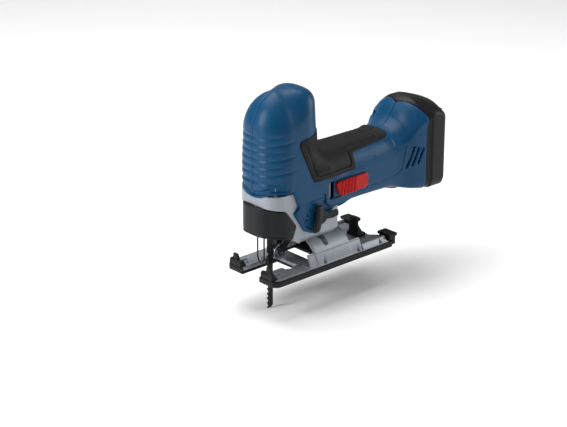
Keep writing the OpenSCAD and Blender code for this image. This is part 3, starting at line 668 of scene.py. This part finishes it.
def chin(g):
    plan = polygon(g.x, g.y, CHIN_PLAN)
    outline = polygon(g.x, g.z, CHIN)
    f = both(outline, plan, 1.4)
    lip = line(g.x, g.z - 2.6, [(2.6, 41.2), (-6, 45), (-29, 48)])
    f = f + 0.6 * np.exp(-(lip / 0.6) ** 2)
    f = cut(f, both(plan + 2.6, g.z - 76))
    f = cut(f, both(plan_box(g, -18.3, 60, 25.6, 14), slab(g.z, 70, 100)))
    return cut(f, both(plan_box(g, -23, 60, 25.6, 16), slab(g.z, 75.9, 100)))


field_piece("front_guard", chin, (-28, -30, 40), (12, 30, 80), 0.5, M["guard_black"], "frame", "guard_black",
            ("front_cover",), keep=0.6)

# ---- controls ----

def lever(g):
    handle = polygon(g.x, g.z, soften([(31.4, 74.6), (39.8, 72.6), (39, 62), (36, 52), (33.6, 45.6),
                                      (29, 44.6), (26.8, 47), (28.4, 56), (31, 64)], 2))
    wing = polygon(g.x, g.z, soften([(36, 65.6), (44, 64), (52, 63.4), (61.2, 63), (61.6, 56.4), (54, 55),
                                    (47, 56), (41, 57.4), (36, 55)], 2))
    hub = np.hypot(g.x - LEVER_AT[0], g.z - LEVER_AT[1]) - 7.5
    flat = either(either(handle, wing, 2), hub, 2)
    out = -g.y
    f = both(flat, slab(out, 33, 36), 1.2)
    f = either(f, both(both(handle + 0.6, slab(out, 33, 38), 1.6), 0.35 * (g.x - 27) + out - 40.6, 1.0), 0.8)
    f = either(f, both(both(wing + 1.2, slab(out, 33, 37), 1.2), -0.2 * (g.x - 61) + out - 37.6, 1), 0.8)
    return f


field_piece("orbit_lever_arm", lever, (26.5, -38.4, 44), (62.5, -32.6, 76), 0.3, M["guard_black"],
            "orbit_control", "guard_black", ("orbit_lever",), keep=0.6)


def slide_button(g):
    out = -g.y
    shape = polygon(g.x, g.z, soften([(61, 89), (64, 91), (105, 91), (107, 89), (107, 77), (104, 75),
                                      (68, 75), (64.5, 77)], 2.2))
    t = (g.x - 66.5 - 0.12 * (g.z - 75)) / 4.6
    wave = 1 - np.abs(np.sin(np.pi * t)) ** 0.6
    crest = 34 - 2.4 * wave * ((g.x > 64) & (g.x < 90)) - 1.7 * ease(g.x, 89.6, 90.6) + 0 * out
    crest = crest - 1.2 * (1 - ease(g.x, 61, 65.5))
    f = both(shape, out - crest, 1.0)
    f = both(f, 30.3 - out)
    stem = block(g, 80, 88, -30.6, -12.05, 80, 86)
    return either(f, stem)


both_sides("switch_button", slide_button, (60.5, -34.3, 74.5), (107.5, -12, 91.5), 0.4, M["control_red"],
           "power_slider", "control_red", nodes=("slider_left", "slider_right"), keep=0.6)


def dial(g):
    x, z = dial_axes(g)
    r = np.hypot(x, g.y)
    teeth = 0.8 * (0.5 - 0.5 * np.cos(30 * np.arctan2(g.y, x))) ** 2 * ease(r, 12, 16)
    f = both(r - DIAL_R + teeth, slab(z, -4, 4), 1.4)
    f = cut(f, both(r - 6, z + 3), 0.8)
    f = cut(f, np.hypot(r - 10.5, z + 4.2) - 0.9, 0.3)
    return either(f, both(r - 2, slab(z, 3, 11)), 0.3)


field_piece("speed_wheel", dial, (143, -17.5, 47), (179, 17.5, 71), 0.4, M["control_red"], "speed_dial",
            "control_red", ("dial_wheel",), keep=0.5)

# ---- footplate ----

PLATE_FRONT, PLATE_BACK, PLATE_HALF = -26, 139, 36.2
SHOE_RIM, RIM_GAP, SHOE_GAP = 2.3, 2.35, 7.05   # rim round the plate, and room left for it and over it


def plate_plan(g, grow):
    """Plan of the metal plate, made wider by grow all round."""
    w, x0, x1 = PLATE_HALF + grow, PLATE_FRONT - grow, PLATE_BACK + grow
    return polygon(g.x, g.y, soften([
        (x0, -w + 5), (x0 + 5, -w), (x1 - 3, -w), (x1, -w + 3), (x1, -14), (x1 - 7, -8), (x1 - 7, 8),
        (x1, 14), (x1, w - 3), (x1 - 3, w), (x0 + 5, w), (x0, w - 5)], 1.5, 2))


def openings(g):
    f = both(np.abs(g.y) - PRONG_GAP, g.x - 10)
    f = either(f, both(slab(g.x, 4, 20), np.abs(g.y) - 19))
    return either(f, both(slab(g.x, 37, 78), np.abs(g.y) - 29))


def plate(g):
    a = np.abs(g.y)
    deck = cut(plate_plan(g, 0), openings(g), 0.8)
    f = both(deck, slab(g.z, 3.1, 7), 0.8)
    radius = np.hypot(g.y, g.z)
    angle = np.degrees(np.arctan2(a, g.z))
    tube = slab(radius, SADDLE_R - 3, SADDLE_R)
    saddle = both(both(tube, slab(g.x, 33, 82), 0.8), 3.1 - g.z)
    # long cheeks that carry the saddle, with a stepped line along their top
    cheek = both(both(tube + 0.5, slab(g.x, 23.5, 97), 0.8), 3.1 - g.z)
    cheek = both(cheek, 0.62 * (CHEEK - angle), 0.8)
    f = either(either(f, cheek, 1.2), saddle, 0.6)
    steps = np.abs(((g.x / 3.2) % 1) - 0.5) * 3.2 < 1.0
    line_at = np.abs(angle - CHEEK - 3.2) * 0.62
    on_cheek = (slab(g.x, 24, 96) < 0) * (np.abs(radius - SADDLE_R) < 3)
    f = f + 0.5 * np.exp(-(line_at / 0.5) ** 2) * steps * on_cheek
    # lips of the prongs, the cross bar, and a raised rear with sloping sides
    prong_lip = both(slab(g.x, -18, 2.5), slab(a, PRONG_GAP + 0.3, PRONG_GAP + 2.3), 1)
    f = either(f, both(prong_lip, slab(g.z, 5, 8.0), 1.0), 0.8)
    f = either(f, both(both(slab(g.x, 2, 23), slab(a, 19.3, 21.3), 1), slab(g.z, 5, 8.0), 1.0), 0.8)
    f = either(f, both(both(slab(g.x, 84, 87), a - 30), slab(g.z, 5, 13.8), 1.0), 1.2)
    rear = both(both(slab(g.x, 98, 133.5), slab(a, 17, 36), 1.5), slab(g.z, 5, 12.5), 1.0)
    rear = both(rear, 0.83 * (a - 35.6) + 0.55 * (g.z - 7), 0.8)
    rear = cut(rear, both(both(slab(g.x, 101, 140), slab(a, 10, 29)), 9.5 - g.z, 0.5), 0.5)
    f = either(f, rear, 0.8)
    # recesses near the tips of the prongs, and small marks along the edge
    f = cut(f, both(both(slab(g.x, -17.5, -6), slab(a, 21, 30), 1), 5.4 - g.z), 0.5)
    f = either(f, both(both(slab(g.x, -14, -10), slab(a, 23.5, 26.5)), slab(g.z, 5, 6.7), 0.6))
    f = cut(f, both(both(slab(g.x, 21.4, 22.8), slab(a, 21.5, 34)), 6.0 - g.z), 0.3)
    for x in (-3, 9, 44, 92, 124):
        mark = polygon(g.x, a, [(x - 2, 34.9), (x + 2, 34.9), (x, 32.2)])
        f = cut(f, both(mark, 6.3 - g.z), 0.3)
    f = cut(f, both(polygon(g.x, a, [(5, 19), (11, 19), (8, 23.4)]), 5.8 - g.z), 0.3)
    f = cut(f, both(both(slab(g.x, 49.2, 54.8), angle - 45), 30 - radius), 0.4)
    for lean, r in ((31, 4.4), (45, 2.9)):
        c, t = math.cos(math.radians(lean)), math.sin(math.radians(lean))
        along = a * c - g.z * t
        f = cut(f, both(np.hypot(g.x - 52, along) - r, 28 - (a * t + g.z * c)), 0.4)
    return f


field_piece("base_plate", plate, (-26.5, -37, 2.5), (140, 37, 37), 0.55, M["plate_alloy"], "footplate_unit",
            "plate_alloy", ("footplate",), keep=0.6)


def shoe(g):
    a = np.abs(g.y)
    outer = plate_plan(g, SHOE_RIM)
    f = both(outer, slab(g.z, 0, 6.5), 1.2)
    f = cut(f, both(plate_plan(g, 0.15), 2.95 - g.z))
    wide = both(a - PRONG_GAP, g.x - 10.2)
    wide = either(wide, both(slab(g.x, 3.8, 20.2), a - PRONG_GAP))
    wide = either(wide, both(slab(g.x, 45, 59), a - 29))
    f = cut(f, wide, 0.6)
    return cut(f, both(np.abs(slab(a, 22.5, 27)) - 0.6, g.z - 0.5), 0.3)


field_piece("sliding_shoe", shoe, (-28.4, -38.6, 0), (141.4, 38.6, 7), 0.55, M["shoe_black"],
            "footplate_unit", "shoe_black", ("slide_shoe",), keep=0.6)


def tip_cap(g):
    out = -g.y
    shell = both(polygon(g.x, g.z, soften([(-28.6, 3), (-28.4, 12), (-27, 13.5), (-24, 13.5), (-20, 7.2),
                                          (-20, 3)], 1.5)), slab(out, 15, 33), 1.4)
    peak = both(polygon(g.x, g.z, soften([(-27.8, 11), (-26.6, 19.5), (-24.4, 19.5), (-22, 11)], 1)),
                slab(out, 22, 29), 1.2)
    f = either(shell, peak, 1.5)
    return cut(f, both(plate_plan(g, RIM_GAP), g.z - SHOE_GAP))


both_sides("tip_cap", tip_cap, (-28.6, -33.2, 2.5), (-19.5, -14.5, 20), 0.3, M["shoe_black"],
           "footplate_unit", "shoe_black", nodes=("cap_left", "cap_right"), keep=0.7)


def middle_clip(g):
    a = np.abs(g.y)
    f = both(both(slab(g.x, 116, 128), a - 9, 1.4), slab(g.z, 7.1, 11), 1.0)
    stem = polygon(g.x, g.z, soften([(117, 9), (116, 28), (123.4, 28), (123.4, 24.6), (119.8, 24),
                                    (121.5, 9)], 1.2))
    f = either(f, both(stem, a - 6.5 + 0.04 * (g.z - 10), 1.2), 1.4)
    webs = both(polygon(g.x, g.z, [(121, 10), (126.5, 10.5), (120.4, 20)]), np.abs(a - 4.4) - 0.8)
    return either(f, webs, 0.6)


field_piece("rear_clip", middle_clip, (115.5, -9.4, 7), (128.5, 9.4, 28.2), 0.35, M["shoe_black"],
            "footplate_unit", "shoe_black", ("clip_middle",), keep=0.7)


def corner_clip(g):
    out = -g.y
    f = both(both(slab(g.x, 136, 145), slab(out, 20, 37), 1.6), slab(g.z, 1.5, 12), 1.0)
    f = either(f, both(both(slab(g.x, 134, 147), slab(out, 19, 38), 2), slab(g.z, 11, 14), 1.0), 1.0)
    f = cut(f, both(plate_plan(g, RIM_GAP), g.z - SHOE_GAP))
    f = cut(f, both(slab(g.x, 130, 137), both(slab(out, 30, 34), slab(g.z, 6, 9.6))))
    slots = np.abs(((out - 20) / 4.2) % 1 - 0.5) * 4.2
    return cut(f, both(slots - 0.5, both(143.8 - g.x, slab(g.z, 3, 10))), 0.3)


both_sides("corner_clip", corner_clip, (133.5, -38.2, 1.2), (147.2, -18.6, 14.2), 0.35, M["shoe_black"],
           "footplate_unit", "shoe_black", nodes=("clip_corners", "clip_corners"), keep=0.7)


# ---- blade, its guide and its guard ----

BLADE_BACK, BLADE_EDGE, PITCH, GULLET, BLADE_TIP = 2.0, -6.0, 5.2, 2.2, -40.0


def blade(g):
    """Flat blade with hooked teeth, set to the two sides in turn."""
    tooth = (g.z - BLADE_TIP - 1) / PITCH
    part = tooth - np.floor(tooth)
    edge = BLADE_EDGE + GULLET * np.where(part < 0.2, part / 0.2, 1 - (part - 0.2) / 0.8) ** 0.8
    toothed = slab(g.z, BLADE_TIP, 24) < 0
    edge = np.where(toothed, edge, BLADE_EDGE + 0.4)
    lean = np.where(np.floor(tooth) % 2 == 0, 0.28, -0.28) * ease(-g.x, 3.0, 6.0) * toothed
    f = both(edge - g.x, g.x - BLADE_BACK)
    f = both(f * 0.8, slab(g.z, BLADE_TIP, 56))
    f = both(f, 0.8 * (BLADE_TIP + 3 - g.z + 0.9 * g.x) - 2)
    shank = both(slab(g.x, -3, 1.9), 44 - g.z)
    f = both(f, either(g.z - 41, shank))
    return both(f, np.abs(g.y - lean) - 0.62, 0.2)


field_piece("toothed_blade", blade, (-6.2, -1, -40), (2.2, 1, 56.2), 0.3, M["blade_steel"], "plunger",
            "blade_steel", ("saw_blade",), keep=0.7)


def roller(g):
    """Guide roller: a groove for the blade's back, thin rims, a turned hub."""
    r, w = np.hypot(g.x - ROLLER_AT[0], g.z - ROLLER_AT[1]), np.abs(g.y)
    f = both(r - 8.3, w - 3.4, 0.5)
    f = cut(f, both(6.8 - r, w - 1.25), 0.3)
    f = cut(f, both(np.abs(r - 5) - 1.2, 2.9 - w), 0.3)
    return cut(f, 0 * w + r - 2.1)


field_piece("grooved_roller", roller, (0.8, -3.6, 11.4), (17.8, 3.6, 28.6), 0.25, M["bearing_steel"],
            "roller", "bearing_steel", ("guide_roller",), keep=0.6)


def fork(g):
    """Bent fork that carries the roller, closed by a bridge near its pivot."""
    w = np.abs(g.y)
    arm = line(g.x, g.z, [ROLLER_AT, FORK_AT]) - 3.3
    eye = np.hypot(g.x - FORK_AT[0], g.z - FORK_AT[1]) - 5
    side = both(either(arm, eye, 2), slab(w, 3.8, 6), 0.5)
    bridge = polygon(g.x, g.z, [(21, 31.5), (23, 31), (31, 37), (33, 49), (29, 49.5), (22, 40)])
    f = either(side, both(bridge, w - 4, 0.6), 0.6)
    f = cut(f, np.hypot(g.x - FORK_AT[0], g.z - FORK_AT[1]) - 2.6 + 0 * w)
    return cut(f, np.hypot(g.x - ROLLER_AT[0], g.z - ROLLER_AT[1]) - 2.05 + 0 * w)


field_piece("roller_carrier", fork, (5, -6.3, 15.5), (33.5, 6.3, 50), 0.35, M["clamp_steel"], "fork",
            "clamp_steel", ("roller_fork",), keep=0.6)


def sleeve(g):
    """Turning sleeve of the blade clamp, with grip flutes and a finger tab."""
    r = np.hypot(g.x, g.y)
    flutes = 0.4 * (0.5 - 0.5 * np.cos(18 * np.arctan2(g.y, g.x))) * ease(g.z, 45.5, 46.5)
    f = both(r - 7.8 + flutes, slab(g.z, 44.5, 56.5), 0.8)
    f = either(f, block(g, -2, 2, -12.4, -7, 47, 54, 0.8), 0.6)
    return cut(f, r - 6.1 + 0 * g.z)


field_piece("clamp_collar", sleeve, (-8, -12.6, 44.2), (8, 8, 56.8), 0.3, M["clamp_steel"], "clamp_ring",
            "clamp_steel", ("clamp_sleeve",), keep=0.6)


WIRE_X, WIRE_R = -14, 0.85


def guard(g):
    """Bent wire in front of the blade, both legs held in the housing."""
    leg = line(np.abs(g.y), g.z, [(5, 71.3), (5, 19.5), (2.6, 14.2), (0, 12.6), (-2, 13.6)])
    return np.hypot(g.x - WIRE_X, leg) - WIRE_R


field_piece("wire_bow", guard, (-15, -6, 11.6), (-13, 6, 72.2), 0.25, M["wire_black"], "frame", "wire_black",
            ("wire_guard",), keep=0.7)

for index, (sx, sz, top) in enumerate(SCREWS):
    def screw(g):
        r, turn = np.hypot(g.x - sx, g.z - sz), np.arctan2(g.z - sz, g.x - sx)
        f = both(r - 3.5, slab(g.y, top - HEAD_HIGH, top), 0.6)
        f = either(f, both(r - 1.5, slab(g.y, 0, top - 2.5)), 0.2)
        return cut(f, both(r - 1.5 - 0.25 * np.cos(6 * turn), top - 1.6 - g.y), 0.1)
    field_piece("case_screw_%d" % (index + 1), screw, (sx - 3.7, -0.2, sz - 3.7),
                (sx + 3.7, top + 0.2, sz + 3.7), 0.3, M["screw_steel"], "frame", "screw_steel",
                ("housing_screws",), keep=0.5)

# ---- finishes of the CAD nodes that stay ----

CARRIED = {
    "contact_brass": finish("contact_brass", srgb(198, 160, 88), 0.3, metal=1.0, carried=True),
    "bush_bronze": finish("bush_bronze", srgb(150, 110, 66), 0.4, metal=0.9, carried=True),
    "winding_copper": finish("winding_copper", srgb(176, 98, 56), 0.35, metal=0.9, grain=500, bump=0.5,
                             streak=(1, 1, 0.15), carried=True),
    "core_steel": finish("core_steel", srgb(120, 122, 126), 0.42, metal=0.9, streak=(1, 1, 5), carried=True),
    "bearing_steel": finish("bearing_steel_cad", srgb(176, 180, 186), 0.22, metal=1.0, carried=True),
    "screw_steel": finish("screw_steel_cad", srgb(96, 98, 102), 0.34, metal=0.95, carried=True),
    "clamp_steel": finish("clamp_steel_cad", srgb(52, 53, 56), 0.36, metal=0.6, worn_and_lit=2.2, carried=True),
    "blade_steel": finish("blade_steel_cad", srgb(70, 72, 77), 0.33, metal=0.9, grain=300,
                          streak=(0.2, 1, 6), worn_and_lit=2.2, carried=True),
    "wire_black": finish("wire_paint_cad", srgb(28, 29, 31), 0.35, metal=0.3, carried=True),
    "board_green": finish("board_mask", srgb(24, 92, 58), 0.35, grain=1200, carried=True),
    "lead_black": finish("lead_black_cover", srgb(24, 24, 26), 0.45, carried=True),
    "lead_red": finish("lead_red_cover", srgb(190, 32, 28), 0.45, carried=True),
    "seal_rubber": finish("seal_rubber_cad", srgb(26, 26, 27), 0.7, carried=True),
    "lamp_lens": finish("lamp_lens_cad", srgb(226, 232, 236), 0.12, spread=0.03, coat=0.5, carried=True),
    "collar_black": finish("collar_plastic_cad", srgb(40, 40, 44), 0.45, bump=0.35, carried=True),
    "guard_black": finish("guard_plastic_cad", srgb(52, 54, 58), 0.42, bump=0.35, carried=True),
    "shoe_black": finish("shoe_plastic_cad", srgb(30, 31, 34), 0.42, carried=True),
    "cast_alloy": finish("cast_alloy_cad", srgb(186, 190, 198), 0.42, metal=0.8, grain=700, bump=0.35,
                         spread=0.05, carried=True),
    "plate_alloy": finish("plate_alloy_cad", srgb(186, 190, 198), 0.36, metal=0.85, carried=True),
    "control_red": finish("control_plastic_cad", srgb(214, 40, 34), 0.33, carried=True),
    "shell_blue": finish("shell_plastic_cad", BLUE, 0.3, carried=True),
    "grip_rubber": finish("grip_cad", srgb(40, 40, 42), 0.6, carried=True),
}
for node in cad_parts.values():
    if node.hide_render:
        continue
    for s in node.material_slots:
        key = s.material.name.split(".")[0] if s.material else ""
        s.material = CARRIED.get(key, CARRIED["core_steel"])


# ---- stage, in metres ----

FLOOR_HALF, FLOOR_Z, FLOOR_TONE = 8.0, -0.0405, 0.93
CAMERA_ROUND, CAMERA_UP, CAMERA_FAR = math.radians(41.7), math.radians(23.6), 1.8
LENS, SENSOR = 110.9, 36                   # millimetres
AIM_RIGHT, AIM_UP = 0.00716, 0.03293       # how far the view's middle is from the origin, as slopes


def add_stage():
    mesh = bpy.data.meshes.new("floor")
    size, low = FLOOR_HALF, FLOOR_Z
    mesh.from_pydata([(-size, -size, low), (size, -size, low), (size, size, low), (-size, size, low)], [],
                     [(0, 1, 2, 3)])
    floor = bpy.data.objects.new("floor", mesh)
    bpy.context.scene.collection.objects.link(floor)
    pale = bpy.data.materials.new("floor_pale")
    pale.use_nodes = True
    shader = pale.node_tree.nodes["Principled BSDF"]
    shader.inputs["Base Color"].default_value = (FLOOR_TONE, FLOOR_TONE, FLOOR_TONE, 1)
    shader.inputs["Roughness"].default_value = 0.9
    mesh.materials.append(pale)


def add_light(name, where, aim, size, watts):
    data = bpy.data.lights.new(name, "AREA")
    data.shape = "RECTANGLE"
    data.size, data.size_y = size
    data.energy = watts
    lamp = bpy.data.objects.new(name, data)
    lamp.location = where
    lamp.rotation_mode = "QUATERNION"
    lamp.rotation_quaternion = (Vector(aim) - Vector(where)).to_track_quat("-Z", "Y")
    bpy.context.scene.collection.objects.link(lamp)


def add_camera():
    """The camera at the photograph's viewing angle."""
    forward = Vector((math.sin(CAMERA_ROUND) * math.cos(CAMERA_UP),
                      math.cos(CAMERA_ROUND) * math.cos(CAMERA_UP), -math.sin(CAMERA_UP)))
    right = forward.cross(Vector((0, 0, 1))).normalized()
    up = right.cross(forward)
    data = bpy.data.cameras.new("camera")
    data.lens, data.sensor_width = LENS, SENSOR
    data.clip_start, data.clip_end = 0.05, 40
    camera = bpy.data.objects.new("camera", data)
    camera.location = -CAMERA_FAR * forward
    aim = (forward + AIM_RIGHT * right + AIM_UP * up).normalized()
    camera.rotation_mode = "QUATERNION"
    camera.rotation_quaternion = aim.to_track_quat("-Z", "Y")
    bpy.context.scene.collection.objects.link(camera)
    bpy.context.scene.camera = camera


def add_world():
    world = bpy.data.worlds.new("studio")
    bpy.context.scene.world = world
    world.use_nodes = True
    background = world.node_tree.nodes["Background"]
    background.inputs["Color"].default_value = (1, 1, 1, 1)
    background.inputs["Strength"].default_value = 0.25
    bpy.context.scene.view_settings.view_transform = "Standard"


add_stage()
add_world()
add_camera()
add_light("left_box", (-1.3, 0.35, 0.75), (0.0, 0, 0.1), (0.5, 1.0), 17)
add_light("top_box", (0.1, 0.5, 1.7), (0.08, 0, 0.0), (1.6, 1.6), 30)
add_light("right_box", (1.3, -0.75, 0.55), (0.12, 0, 0.08), (0.6, 0.9), 9)
